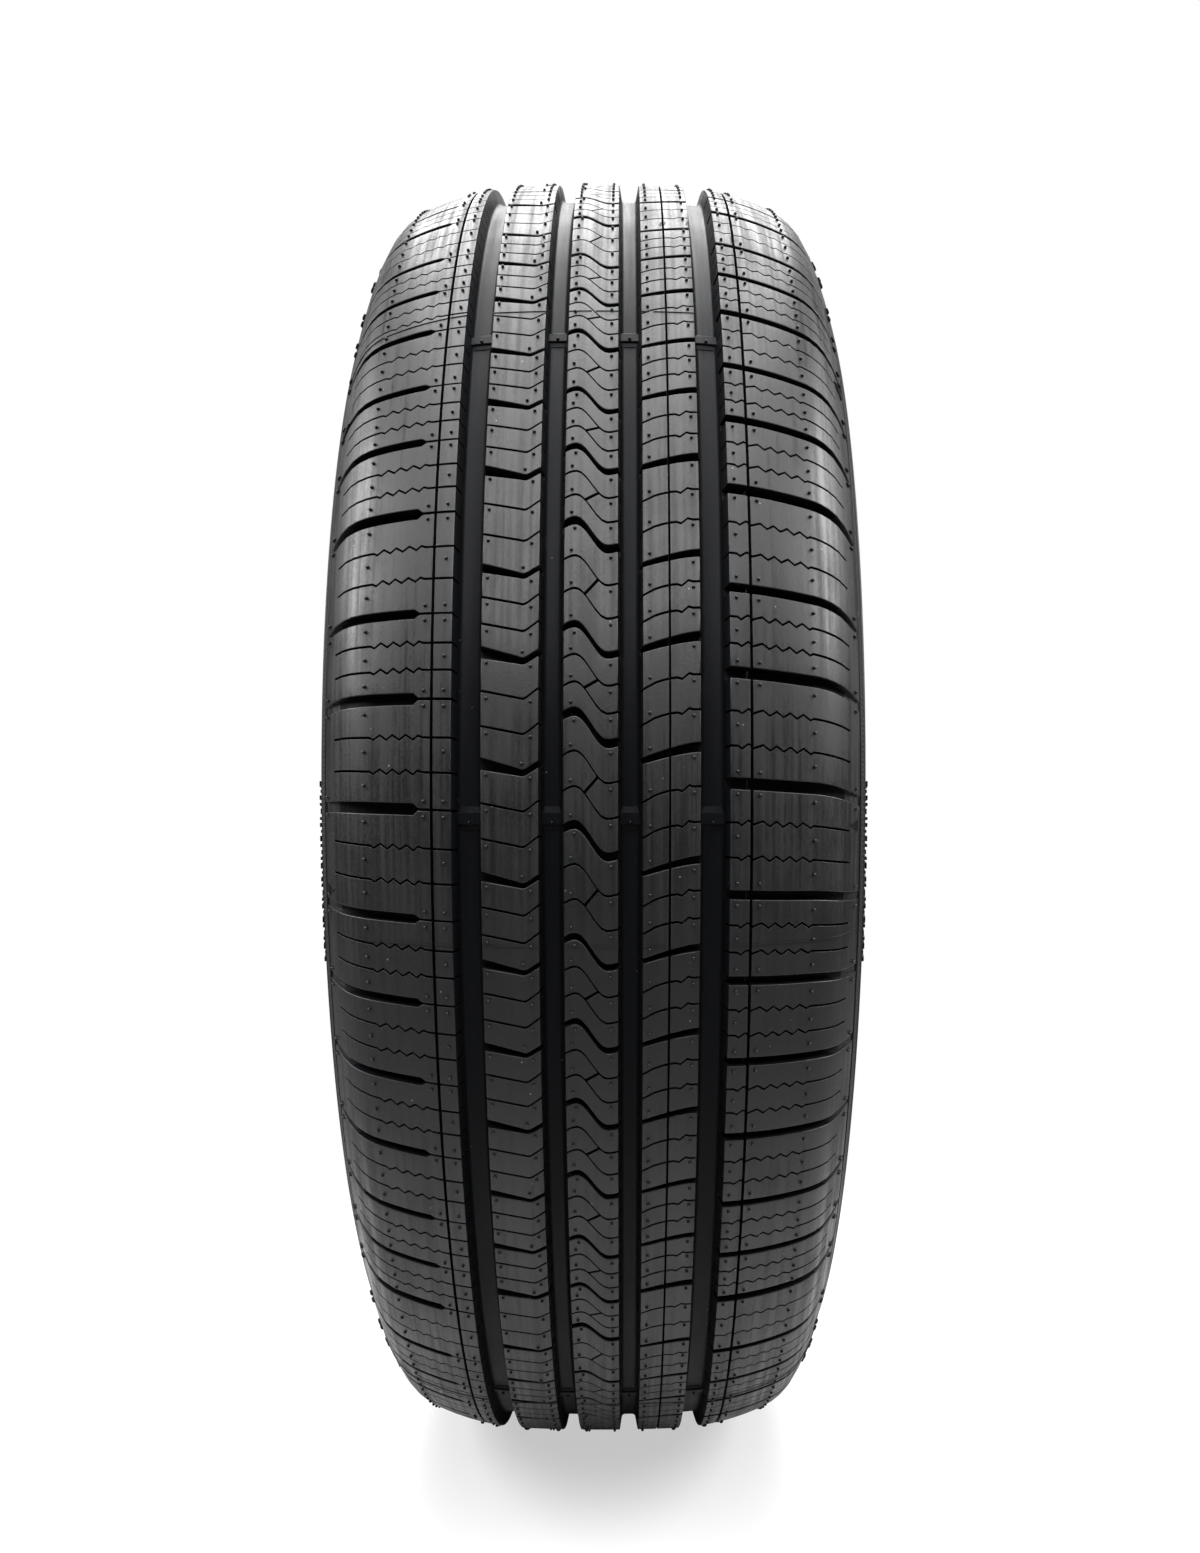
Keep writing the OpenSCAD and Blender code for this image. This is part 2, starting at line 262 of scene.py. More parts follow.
# %% A grid with a row and a column number at each point
def numbered_grid(name, rows, columns):
    piece = add_shape(name, bpy.ops.mesh.primitive_grid_add, x_subdivisions=columns - 1,
                      y_subdivisions=rows - 1, size=1)
    points = points_of(piece)
    column = np.rint((points[:, 0] + 0.5) * (columns - 1)).astype(int)
    row = np.rint((0.5 - points[:, 1]) * (rows - 1)).astype(int)
    for label, values in (("row", row), ("column", column)):
        mark = piece.data.attributes.new(label, "INT", "POINT")
        mark.data.foreach_set("value", values)
    return piece, row, column


def marks(piece, label):
    values = np.zeros(len(piece.data.vertices), int)
    piece.data.attributes[label].data.foreach_get("value", values)
    return values


# %% The grid closed to a tube: bottom, left wall, top, right wall, and the bottom again
def tube_from_grid(name, places, depths, walls):
    across, along = places
    rows, tops = along.shape
    piece, row, column = numbered_grid(name, rows, tops + 5)
    top = np.clip(column - 2, 0, tops - 1)
    y, x, up = across[row, top], along[row, top], np.zeros(len(row))
    for end, sign, wall_column, low_columns in ((0, -1, 1, (0, tops + 4)), (-1, 1, tops + 2, (tops + 3,))):
        at_wall = column == wall_column
        up[at_wall] = -depths[end]
        y[at_wall] += sign * walls[end] * depths[end]
        for low in low_columns:
            at_low = column == low
            up[at_low] = -BOTTOM
            y[at_low] = across[row[at_low], end] + sign * walls[end] * BOTTOM
            x[at_low] = along[row[at_low], end]
    set_points(piece, np.stack([x, y, up], 1) * MM)
    edit(piece, bpy.ops.mesh.flip_normals, merge)
    return piece


# %% The faces of the cuts, extruded where they are
def extrude_cuts(piece, tops, cut):
    row, column = marks(piece, "row"), marks(piece, "column")
    chosen = np.zeros(len(piece.data.polygons), bool)
    for face in piece.data.polygons:
        ids = np.array(face.vertices)
        band, cell = row[ids].min() % ROWS, column[ids].min()
        if column[ids].max() - cell > 1:
            continue
        if cell in (1, tops + 1):
            chosen[face.index] = band in CUT_BANDS and cut(band, 0 if cell == 1 else tops - 2)
        elif 2 <= cell <= tops:
            chosen[face.index] = cut(band, cell - 2)
    edit(piece, lambda: bpy.ops.mesh.select_mode(type="FACE"), select_none)
    piece.data.polygons.foreach_set("select", chosen)
    bpy.ops.object.mode_set(mode="EDIT")
    bpy.ops.mesh.extrude_region_move(TRANSFORM_OT_translate={"value": (0, 0, 0)})
    bpy.ops.object.mode_set(mode="OBJECT")


# %% Their new points, pushed down to the floor, which reaches the leaning walls where a cut is open
def push_down(piece, across, floor, cut, walls):
    tops = across.shape[1]
    moved = np.zeros(len(piece.data.vertices), bool)
    piece.data.vertices.foreach_get("select", moved)
    row, column = marks(piece, "row"), marks(piece, "column")
    points = points_of(piece) / MM
    for i in np.where(moved & (column >= 2) & (column <= tops + 1))[0]:
        place = column[i] - 2
        depth = floor(row[i] % ROWS, across[row[i], place])
        points[i, 2] = -depth
        if place == 0 and cut(SLOT_BAND, 0):
            points[i, 1] -= walls[0] * depth
        if place == tops - 1 and cut(SLOT_BAND, tops - 2):
            points[i, 1] += walls[1] * depth
    set_points(piece, points * MM)
    edit(piece, merge)


# %% [markdown]
# The rims of grooves and slots are rounded by 0.4 mm and those of the thin cuts by less. The Bevel modifier
# takes its width at each edge from a weight, so that one pass rounds both.

# %% Bevel by weight
RIM, THIN_RIM = 0.4, 0.12
SHARP = 0.7  # radians between two faces, from which their edge is a rim


def bevel_rims(piece, wide):
    row = marks(piece, "row") % ROWS
    shape = bmesh.new()
    shape.from_mesh(piece.data)
    weights = np.zeros(len(shape.edges))
    shape.edges.ensure_lookup_table()
    for edge in shape.edges:
        a, b = edge.verts
        if min(a.co.z, b.co.z) < -1e-6 or len(edge.link_faces) != 2 or edge.calc_face_angle(0) < SHARP:
            continue
        run = row[a.index] if row[a.index] == row[b.index] else -1
        weights[edge.index] = 1.0 if wide(run, (a.co.y + b.co.y) / 2 / MM) else THIN_RIM / RIM
    shape.free()
    mark = piece.data.attributes.new("bevel_weight_edge", "FLOAT", "EDGE")
    mark.data.foreach_set("value", weights)
    only(piece)
    bevel = piece.modifiers.new("round the rims", "BEVEL")
    bevel.limit_method = "WEIGHT"
    bevel.width = RIM * MM
    bevel.segments = 2
    bevel.use_clamp_overlap = False
    bpy.ops.object.modifier_apply(modifier=bevel.name)
    print(piece.name, int((weights > 0).sum()), "rim edges rounded")


# %% [markdown]
# The floors and walls of the cuts get a darker, less reflective rubber than the tops, as painted shade in the
# cuts, so each row has two materials. Both are made here and get their nodes further below.

# %% Two rubbers on one row, the darker one as painted shade in the cuts
tread_rubber = bpy.data.materials.new("tread rubber")
# The second rubber is darker and reflects less: it paints the shade that falls in the cuts.
dark_rubber_and_shade = bpy.data.materials.new("dark rubber and shade")
SHADE_FROM = 0.45  # depth below the top
SLOT_SHADE_END = 98.5  # beyond it the shoulder slots rise into the light


def mark_faces(piece):
    """Paints shade: gives the darker rubber to the faces below the top, but not where the shoulder slots rise
    into the light.
    """
    points = points_of(piece) / MM
    across = points[:, 1]
    radius, slope = surface(across)
    height = (np.hypot(points[:, 0], points[:, 2]) - radius) * np.cos(slope)
    for face in piece.data.polygons:
        ids = list(face.vertices)
        face.material_index = int(height[ids].mean() < -SHADE_FROM and abs(across[ids].mean()) < SLOT_SHADE_END)


def block_row(name, places, floor, cut, wide, walls):
    """places: across and along of each top point. floor(row, across) is the depth of a cut there,
    cut(band, cell) says which cells are cut away, and wide(row, across) which rims are well rounded, where
    row -1 is an edge that runs along the tyre. walls: lean of the left and the right wall."""
    across = places[0]
    depths = (floor(SLOT_BAND, across[0, 0]), floor(SLOT_BAND, across[0, -1]))
    piece = tube_from_grid(name, places, depths, walls)
    extrude_cuts(piece, across.shape[1], cut)
    push_down(piece, across, floor, cut, walls)
    bevel_rims(piece, wide)
    wrap(piece)
    edit(piece, merge, join_seam, outwards)
    finish_piece(piece, tread_rubber, angle=50, weighted=True)
    # Faces below the top get the darker rubber as painted shade.
    piece.data.materials.append(dark_rubber_and_shade)
    mark_faces(piece)


# %% [markdown]
# ## Five rows of blocks
# Each row has its own line for the cuts: a wave in the middle, a bend on its left, a curve on its right, and
# straight slots with zigzag cuts on the shoulders. The zigzags lock the blocks together under load. Where a
# narrow groove splits a row, it is built as two tubes with the groove between them.

# %% What the rows share
SLOT_ROWS = (1, 2)  # the grid's rows at the two edges of a slot
LEADS = {"left": -2.13, "bent": 1.15, "middle": -2.85, "curved": 2.2, "right": 0.35}  # on the pitch, degrees


def flat_depth(row, across):
    return DEPTH


def all_cuts(band, cell):
    return band in CUT_BANDS


# %% Middle row: a wave, and a short cut that joins the two sipes of each pitch
MIDDLE_EDGE = 10.25
MIDDLE_SLOT_W = 2.7
CREST, TROUGH, RIGHT_END = (4.1, 1.6), (16.6, -10.8), -10.0  # of the wave, from the row's left edge
LINK = 8  # the cell that the short cut takes, slanting from the left columns to the right ones
link_right = np.array([0, 1.5, 3, 4.5, 6.1, 7.7, 9.3, 10.9, 12.45, 13.15, 14.4, 15.6, 16.8, 18.1, 19.3, 20.5])
link_left = np.array([0, 0.9, 1.9, 2.9, 3.9, 4.9, 5.8, 6.8, 7.65, 8.35, 10.3, 12.2, 14.2, 16.3, 18.4, 20.5])


def wave(across):
    u = across + MIDDLE_EDGE
    rise = CREST[1] * np.cos(np.pi / 2 * (CREST[0] - u) / CREST[0])
    ease = (1 - np.cos(np.pi * (u - CREST[0]) / (TROUGH[0] - CREST[0]))) / 2
    fall = CREST[1] + (TROUGH[1] - CREST[1]) * ease
    turn = 1 - np.cos(np.pi / 2 * (u - TROUGH[0]) / (2 * MIDDLE_EDGE - TROUGH[0]))
    end = TROUGH[1] + (RIGHT_END - TROUGH[1]) * turn
    return np.where(u < CREST[0], rise, np.where(u < TROUGH[0], fall, end))


def middle_cut(band, cell):
    return band in CUT_BANDS or band in (5, 6) and cell == LINK


block_row(
    "middle_blocks",
    row_lines(link_right - MIDDLE_EDGE, wave, wave, lambda across: MIDDLE_SLOT_W + 0 * across,
              LEADS["middle"], other_columns=link_left - MIDDLE_EDGE),
    flat_depth, middle_cut,
    lambda row, across: row in SLOT_ROWS or row == -1 and abs(across) > MIDDLE_EDGE - 0.25,
    (LEAN, LEAN))

# %% Row on the left of the middle: a fall, a rounded bend, a short rise
RIB_IN, RIB_OUT = 19.85, 41.6
BEND = -25.7
bent_columns = np.array([-RIB_OUT, -38, -34, -30, -27.6, -26.6, BEND, -24.9, -23.9, -22, -RIB_IN])


def bent(fall, rise):
    known = ([-RIB_OUT, -27.6, -26.6, BEND, -24.9, -23.9, -RIB_IN],
             [0, -fall * 0.89, -fall * 0.975, -fall, -fall + rise * 0.06, -fall + rise * 0.22, rise - fall])
    return lambda across: np.interp(across, *known)


def bent_w(across):
    return np.interp(across, [-RIB_OUT, BEND, -RIB_IN], [3.7, 2.0, 2.2])


bent_slot, bent_sipe = bent(3.6, 3.4), bent(3.2, 4.1)
block_row(
    "bent_blocks", row_lines(bent_columns, bent_slot, bent_sipe, bent_w, LEADS["bent"]),
    flat_depth, all_cuts, lambda row, across: row in SLOT_ROWS or row == -1, (LEAN, LEAN))

# %% Row on the right of the middle, split by a narrow groove
CURVE_FALL, CURVE_POWER = 5.4, 1.4
SPLIT_FROM, SPLIT_TO = 29.6, 30.4
curved_inner = np.array([RIB_IN, 21.5, 24.2, 27, SPLIT_FROM])
curved_outer = np.array([SPLIT_TO, 32.9, 34.6, 35.9, 37.2, 39, RIB_OUT])


def curve(across):
    return -CURVE_FALL * ((RIB_OUT - across) / (RIB_OUT - RIB_IN)) ** CURVE_POWER


def kinked_curve(across):
    return np.interp(across, [RIB_IN, 24.2, 27, 30.1, 32.9, 34.6, 37.2, 39, RIB_OUT],
                     [-6.1, -3.6, -2.6, -1.75, -1.4, -2.0, 0.3, -0.2, 0.0])


def curved_w(across):
    return np.interp(across, [RIB_IN, RIB_OUT], [2.0, 3.1])


for part, columns, walls in (("inner", curved_inner, (LEAN, 0)), ("outer", curved_outer, (0, LEAN))):
    block_row(
        "curved_blocks_" + part, row_lines(columns, curve, kinked_curve, curved_w, LEADS["curved"]),
        flat_depth, all_cuts,
        lambda row, across: row in SLOT_ROWS or row == -1 and not SPLIT_FROM - 1.6 < across < SPLIT_TO + 1.6,
        walls)

# %% [markdown]
# The shoulder slots get shallower towards the edge, so that light falls on their floor there. The thin cuts
# stop short of the edge, which keeps the shoulder stiff.

# %% Lines and depths of the cuts on the shoulders
TILT = math.tan(math.radians(2.5))
SHOULDER_IN = 53.0
SHOULDER_SLOT_W = 3.6
CLOSED_END = 66.0  # of the left shoulder's slots
ZIG = 0.95
LEFT_ZIG = ([-EDGE_AT, -85.4, -83.8, -81.1, -78.4, -76.0, -73.3, -70.6, -67.8, -65.5, -64.1, -SHOULDER_IN],
            [0, 0, -ZIG, ZIG, -ZIG, ZIG, -ZIG, ZIG, -ZIG, ZIG, 0, 0])
RIGHT_ZIG = ([SHOULDER_IN, 55.9, 57.3, 59.8, 60.6, 61.8, 65.5, 68.2,
              70.8, 73.5, 76.2, 78.9, 81.4, 84.4, 85.6, EDGE_AT],
             [0, 0, -ZIG, ZIG, 0.6, -0.6, ZIG, -ZIG, ZIG, -ZIG, ZIG, -ZIG, ZIG, -ZIG, -0.1, 0])


def rising_floor(row, across):
    if row not in SLOT_ROWS:
        return DEPTH
    return float(np.interp(abs(across), [82, 95, 104, EDGE_AT], [DEPTH, 4.2, 1.9, 1.0]))


def shoulder_slot(across):
    bend = np.clip((np.abs(across) - 88) / 20, 0, None) ** 1.5
    return -TILT * across - np.where(across > 0, 2.8, -0.4) * bend


def left_sipe(across):
    tail = np.clip((-across - 86) / 16, 0, None) ** 1.3
    return -TILT * across + np.interp(across, *LEFT_ZIG) + 0.8 * tail


def right_sipe(across):
    tail = np.clip((across - 86) / 16, 0, None) ** 1.3
    return -TILT * across + np.interp(across, *RIGHT_ZIG) - 1.4 * tail


def closed_slot_w(across):
    return np.interp(-across, [CLOSED_END, CLOSED_END + 1.6, EDGE_AT], [0.8, SHOULDER_SLOT_W, SHOULDER_SLOT_W])


def open_slot_w(across):
    return SHOULDER_SLOT_W + 0 * across


# %% Shoulders, each split by a narrow groove
NARROW_LEFT, NARROW_RIGHT, HALF_CUT = -60.6, 61.2, 0.55
TAIL_END = 102.0  # where the sipes end
GROOVE_RIM = 3.0  # within it from the groove's wall, a rim is that of the groove


def shoulder(name, side, columns, walls, wide, reach=EDGE_AT):
    slot_w, sipe_line = (closed_slot_w, left_sipe) if side == "left" else (open_slot_w, right_sipe)
    has_sipe = np.abs(columns) <= reach + 0.01
    block_row(
        name, row_lines(columns, shoulder_slot, sipe_line, slot_w, LEADS[side]), rising_floor,
        lambda band, cell: band == SLOT_BAND or band in SIPE_BANDS and has_sipe[cell] and has_sipe[cell + 1],
        wide, walls)


shoulder("left_shoulder_inner", "left", np.array([NARROW_LEFT + HALF_CUT, -57.5, -55, -SHOULDER_IN]),
         (0, LEAN), lambda row, across: row == -1 and across > -SHOULDER_IN - GROOVE_RIM)
shoulder("left_shoulder_outer", "left",
         np.array([-EDGE_AT, -104.8, -TAIL_END, -98, -94, -90, -87, -85.4, -83.8, -81.1, -78.4, -76.0, -73.3,
                   -70.6, -67.8, -65.8, -64.1, NARROW_LEFT - HALF_CUT]),
         (0, 0), lambda row, across: row in SLOT_ROWS and across < -CLOSED_END, TAIL_END)
shoulder("right_shoulder_inner", "right", np.array([SHOULDER_IN, 55.9, 57.3, 59.8, NARROW_RIGHT - HALF_CUT]),
         (LEAN, 0),
         lambda row, across: row in SLOT_ROWS or row == -1 and across < SHOULDER_IN + GROOVE_RIM)
shoulder("right_shoulder_outer", "right",
         np.array([NARROW_RIGHT + HALF_CUT, 65.5, 68.2, 70.8, 73.5, 76.2, 78.9, 81.4, 84.4, 85.6, 88, 91, 94.5,
                   98, TAIL_END, 104.8, EDGE_AT]),
         (0, 0), lambda row, across: row in SLOT_ROWS, TAIL_END)

# %% [markdown]
# ## The body of the tyre
# Under the blocks lies one turned body: the floors of the grooves, the sidewalls, the rib that guards the rim,
# the beads and the smooth liner. Half of its section is listed, mirrored and spun about the axle, as on a
# lathe. The floors of the grooves get small fillets, because a sharp corner there would crack.

# %% Floors of the main grooves and the base under the blocks, drawn flat
GROOVES = ((15.05, 9.6), (47.3, 11.4))  # place and width
FLOOR_FILLET = ((6.6, -0.3), (6.6, 0.0), (7.2, 0.12), (7.6, 0.4), (7.88, 0.85), (8.0, 1.4))  # depth and inset
UNDER = -7.0  # height of the base, below the slots and inside the rows of blocks
EDGE_LINE = -1.2  # height of the fine line that ends the shoulder


def groove_floor(centre, width):
    side = [(width / 2 - LEAN * depth - inset, -depth) for depth, inset in FLOOR_FILLET]
    left = [(centre - half, up) for half, up in side]
    right = [(centre + half, up) for half, up in reversed(side)]
    return [(left[0][0], UNDER)] + left + right + [(right[-1][0], UNDER)]


def flat_to_section(points):
    across, up = np.array(points, float).T
    radius, slope = surface(across)
    return [tuple(p) for p in np.stack([across + up * np.sin(slope), radius + up * np.cos(slope)], 1)]


tread_base = [(0.0, UNDER)]
for centre, width in GROOVES:
    tread_base += groove_floor(centre, width)
tread_base += [(a, UNDER) for a in (60, 70, 80, 87, 91, 95, 99, 103, 106.4, 107.1)]
tread_base += [(107.3, EDGE_LINE), (EDGE_AT + 1.0, EDGE_LINE), (EDGE_AT + 1.3, -0.15), (EDGE_AT + 1.6, 0.0)]

# %% Sidewall, bead and liner, as distance from the middle and radius
LOWER_SIDE_R, LOWER_SIDE_END = 65.2, 115.8  # radius, and the heading in degrees at its end
SEAT_R, RIM_HALF, HEEL_R = 218.3, 82.5, 6.5
FLANGE_R, FLANGE_TOP = 9.5, 235.8
LINER_SIDE_AT, LINER_LOWER_R = 106.7, 40
LINER_TOP, LINER_CROWN_R, LINER_CROWN_END = 333.5, 500, 8.05
LINER_SHOULDER_R, LINER_SHOULDER_END = 41.9, 80
QUARTER = np.radians(np.linspace(0, 90, 10))


def turned_arc(start, radius, from_deg, to_deg, steps):
    headings = np.radians(np.linspace(from_deg, to_deg, steps + 1)[1:])
    h0 = math.radians(from_deg)
    return [(start[0] + radius * (math.sin(h) - math.sin(h0)), start[1] + radius * (math.cos(h) - math.cos(h0)))
            for h in headings]


upper_side = flat_to_section([(a, 0) for a in (110, 111, 112, 112.8, 113.3)]) + [(SIDE_HALF, WIDEST_R)]
lower_side = turned_arc((SIDE_HALF, WIDEST_R), LOWER_SIDE_R, 90, LOWER_SIDE_END, 12)
guard = [(108.5, 244.2), (108.2, 242.2), (107.2, 240.4), (105, 238.6), (102, 237.4), (97, 236.4)]
flange = [(RIM_HALF + FLANGE_R * (1 - math.sin(t)), FLANGE_TOP - FLANGE_R * (1 - math.cos(t))) for t in QUARTER]
heel = [(RIM_HALF - HEEL_R * (1 - math.cos(t)), SEAT_R + HEEL_R * (1 - math.sin(t))) for t in QUARTER]
bead_toe = [(66, SEAT_R), (63.2, 219.2), (62.1, 219.7), (61.5, 220.9), (63, 223)]
liner_low = [(66.5, 226.3), (74, 233.8), (83.5, 241.3)]
liner_widest = (LINER_SIDE_AT, WIDEST_R)
liner_side = turned_arc(liner_widest, LINER_LOWER_R, 90, 140, 10)[::-1] + [liner_widest]
liner_crown = turned_arc((0, LINER_TOP), LINER_CROWN_R, 0, LINER_CROWN_END, 6)
liner_shoulder = turned_arc(liner_crown[-1], LINER_SHOULDER_R, LINER_CROWN_END, LINER_SHOULDER_END, 12)
liner = liner_low + liner_side + liner_shoulder[::-1] + liner_crown[::-1] + [(0, LINER_TOP)]
half_section = flat_to_section(tread_base) + upper_side + lower_side + guard + flange + heel + bead_toe + liner
print("half section of", len(half_section), "points")

# %% Rings that stand out a little on the sidewall
RINGS = (300.0, 258.0)
RING_H, RING_HALF = 0.7, 0.9
OUTSIDE = 107.0  # only the sidewall lies further out than this
RING_ZONE = (252, 308)


def with_rings(section):
    out = []
    for (a0, r0), (a1, r1) in zip(section, section[1:]):
        out.append((a0, r0))
        for ring in RINGS:
            if a0 > 100 and r0 > ring > r1:
                for off, up in ((RING_HALF, 0), (RING_HALF * 0.6, RING_H), (-RING_HALF * 0.6, RING_H),
                                (-RING_HALF, 0)):
                    t = (r0 - ring - off) / (r0 - r1)
                    out.append((a0 + (a1 - a0) * t + up, ring + off))
    return out + [section[-1]]


def never_back(section):
    """Drops a point that a ring has passed, so that the line never runs back."""
    kept = [section[0]]
    for point in section[1:]:
        on_side = point[0] > OUTSIDE and kept[-1][0] > OUTSIDE and RING_ZONE[0] < point[1] < RING_ZONE[1]
        if not (on_side and point[1] > kept[-1][1]):
            kept.append(point)
    return kept


half_section = never_back(with_rings(half_section))
outline = half_section + [(-a, r) for a, r in half_section[-2:0:-1]]
print("whole section of", len(outline), "points")

# %% Spin the section
TURN_STEPS = 288
body_rubber = bpy.data.materials.new("body rubber")
body = add_shape("tyre_body", bpy.ops.mesh.primitive_circle_add, vertices=len(outline), radius=1,
                 fill_type="NOTHING")
set_points(body, np.array([(r, a, 0) for a, r in outline]) * MM)
edit(body, lambda: bpy.ops.mesh.spin(steps=TURN_STEPS, angle=2 * math.pi, center=(0, 0, 0), axis=(0, 1, 0)))
edit(body, merge, outwards)
finish_piece(body, body_rubber, angle=35)

# %% Darker rubber, as painted shade, on the floors of the grooves and in the line that ends the shoulder
FLOORS_FROM_R, FLOORS_WITHIN = 338, 60
LINE_FROM_R, LINE_FROM, LINE_TO = 300, 106.9, EDGE_AT + 1.2
# The floors of the grooves and the edge line get the darker rubber: painted shade in these recesses.
body.data.materials.append(dark_rubber_and_shade)
for face in body.data.polygons:
    far, across = math.hypot(face.center.x, face.center.z) / MM, abs(face.center.y) / MM
    in_groove = far > FLOORS_FROM_R and across < FLOORS_WITHIN
    in_line = far > LINE_FROM_R and LINE_FROM < across < LINE_TO
    face.material_index = int(in_groove or in_line)
print(sum(face.material_index for face in body.data.polygons), "faces of the body have dark rubber and shade")

# %% [markdown]
# ## Wear bars
# Low bars cross the floors of the main grooves. When the tread is worn down to them, the tyre is at its limit.
# Each is a cube drawn flat, with sloping ends, bevelled and wrapped round.

# %% Wear bars
BAR_AT = (0.5, 36.1, 82, 128, 174, 221, 262, 306.4)  # degrees round the tyre
BAR_TOP, BAR_ROOT = -6.4, -8.6
BAR_L, BAR_SLOPE = 9.4, 2.2
BAR_INTO_WALL = 0.25


def wear_bar(along, centre, width):
    half = width / 2 + LEAN * BAR_TOP + BAR_INTO_WALL
    ends = ((along - BAR_L / 2, along + BAR_L / 2), (centre - half, centre + half), (BAR_ROOT, BAR_TOP))
    bar = add_shape("wear_bars", bpy.ops.mesh.primitive_cube_add, size=1,
                    location=[(a + b) / 2 * MM for a, b in ends], scale=[(b - a) * MM for a, b in ends])
    edit(bar, lambda: bpy.ops.mesh.subdivide(number_cuts=1),
         lambda: bpy.ops.mesh.bevel(offset=0.25 * MM, segments=1, affect="EDGES"))
    points = points_of(bar)
    high = points[:, 2] > (BAR_TOP + BAR_ROOT) / 2 * MM
    for end in (-1, 1):
        at_end = (points[:, 0] / MM - along) * end > BAR_L / 2 - 1
        points[high & at_end, 0] -= end * BAR_SLOPE * MM
    set_points(bar, points)
    wrap(bar)
    return bar


bars = [wear_bar(angle * DEGREE, side * centre, width)
        for angle in BAR_AT for centre, width in GROOVES for side in (-1, 1)]
only(bars[0])
for bar in bars:
    bar.select_set(True)
bpy.ops.object.join()
wear_bars = bpy.context.object
edit(wear_bars, outwards)
# The bars get the darker rubber, painted shade, like the groove floors they stand on.
finish_piece(wear_bars, dark_rubber_and_shade)

# %% [markdown]
# ## Vent pips
# Air leaves the mould through hundreds of small holes, and the rubber that follows it stays as a pip, less than
# 2 mm wide at its foot. One pip is modelled as a short tapered cylinder with a bevelled top, and copied to each
# place beside the cuts and to each wear bar.

# %% One pip
PIP_R, PIP_H, PIP_TOP, PIP_BEVEL = 0.9, 2.2, 0.58, 0.22  # the top is given as a share of the foot
pip = add_shape("vent_pips", bpy.ops.mesh.primitive_cylinder_add, vertices=8, radius=PIP_R * MM,
                depth=PIP_H * MM, location=(0, 0, 0))
points = points_of(pip)
points[points[:, 2] > 0, :2] *= PIP_TOP
set_points(pip, points)
edit(pip, select_none)
for edge in pip.data.edges:
    edge.select = all(pip.data.vertices[i].co.z > 0 for i in edge.vertices)
bpy.ops.object.mode_set(mode="EDIT")
bpy.ops.mesh.bevel(offset=PIP_BEVEL * MM, segments=1, affect="EDGES")
bpy.ops.object.mode_set(mode="OBJECT")
print("a pip has", len(pip.data.polygons), "faces")

# %% Places of the pips: row, distance from the middle, and offset along the tyre from a cut
LINES = {"left": (shoulder_slot, left_sipe), "bent": (bent_slot, bent_sipe), "middle": (wave, wave),
         "curved": (curve, kinked_curve), "right": (shoulder_slot, right_sipe)}
AT_EVERY_CUT = (  # the last number is added at a slot
    ("bent", -39.6, -2.4, -1.2), ("bent", -22.8, -2.8, -0.6), ("middle", -7.6, 2.6, 1.2),
    ("middle", 7.5, -2.4, -1.2), ("curved", 22.4, 3.1, 0.8), ("curved", 39.1, -2.2, -1.5),
    ("right", 86.0, -5.6, 0.0), ("left", -87.6, -5.6, 0.0))
AT_ONE_CUT = (  # the third value is the cut: 0 is the slot, 1 and 2 are the sipes
    ("bent", -26.0, 0, 3.6), ("middle", -6.3, 0, -3.4),
    ("right", 55.6, 0, 4.6), ("right", 55.6, 0, -4.0), ("right", 55.6, 1, -5.2), ("right", 64.3, 0, 4.6),
    ("right", 64.3, 0, -4.0), ("right", 105.0, 0, 4.3), ("right", 105.0, 0, -4.3),
    ("left", -55.8, 0, 3.5), ("left", -55.8, 0, -2.7), ("left", -55.8, 1, -5.2), ("left", -63.6, 0, 3.3),
    ("left", -63.6, 0, -2.7), ("left", -105.6, 0, 4.3), ("left", -105.6, 0, -3.3))
PIPS = AT_ONE_CUT + tuple((row, across, cut, off + more * (cut == 0))
                          for row, across, off, more in AT_EVERY_CUT for cut in (0, 1, 2))
ON_BAR = -0.25  # degrees from the middle of a wear bar to its pip


def cut_at(i, cut, across, row):
    """Where a cut of pitch i crosses, in mm round the tyre."""
    slot_line, sipe_line = LINES[row]
    start = starts[i] + LEADS[row] * DEGREE
    if cut == 0:
        return start + float(slot_line(np.array(across)))
    return start - SIPE_SHARES[cut - 1] * shares[i] * medium + float(sipe_line(np.array(across)))


places = [(cut_at(i, cut, across, row) + off, across, 0.0)
          for row, across, cut, off in PIPS for i in range(PITCHES)]
places += [((angle + ON_BAR) * DEGREE, side * centre, BAR_TOP)
           for angle in BAR_AT for centre, _ in GROOVES for side in (-1, 1)]
print(len(places), "pips")


# %% One shape copied to many places
def faces_of(piece):
    return [tuple(face.vertices) for face in piece.data.polygons]


def fill_with_copies(piece, flat_copies):
    """Gives the piece one mesh with a wrapped copy of its own faces for each set of points, in mm."""
    faces, size = faces_of(piece), len(flat_copies[0])
    piece.data.clear_geometry()
    piece.data.from_pydata(
        np.concatenate([wrapped(flat) for flat in flat_copies]).tolist(), [],
        [tuple(v + size * k for v in face) for k in range(len(flat_copies)) for face in faces])
    edit(piece, outwards)


# %% All pips, with the darker rubber on their flanks as a painted shadow ring
FLANK_H = 0.5
shape = points_of(pip) / MM
is_flank = [np.ptp(shape[list(face), 2]) > FLANK_H for face in faces_of(pip)]
fill_with_copies(pip, [shape + place for place in places])
finish_piece(pip, tread_rubber, angle=50)
# The flanks get the darker rubber, a painted shadow round each pip.
pip.data.materials.append(dark_rubber_and_shade)
for face in pip.data.polygons:
    face.material_index = int(is_flank[face.index % len(is_flank)])

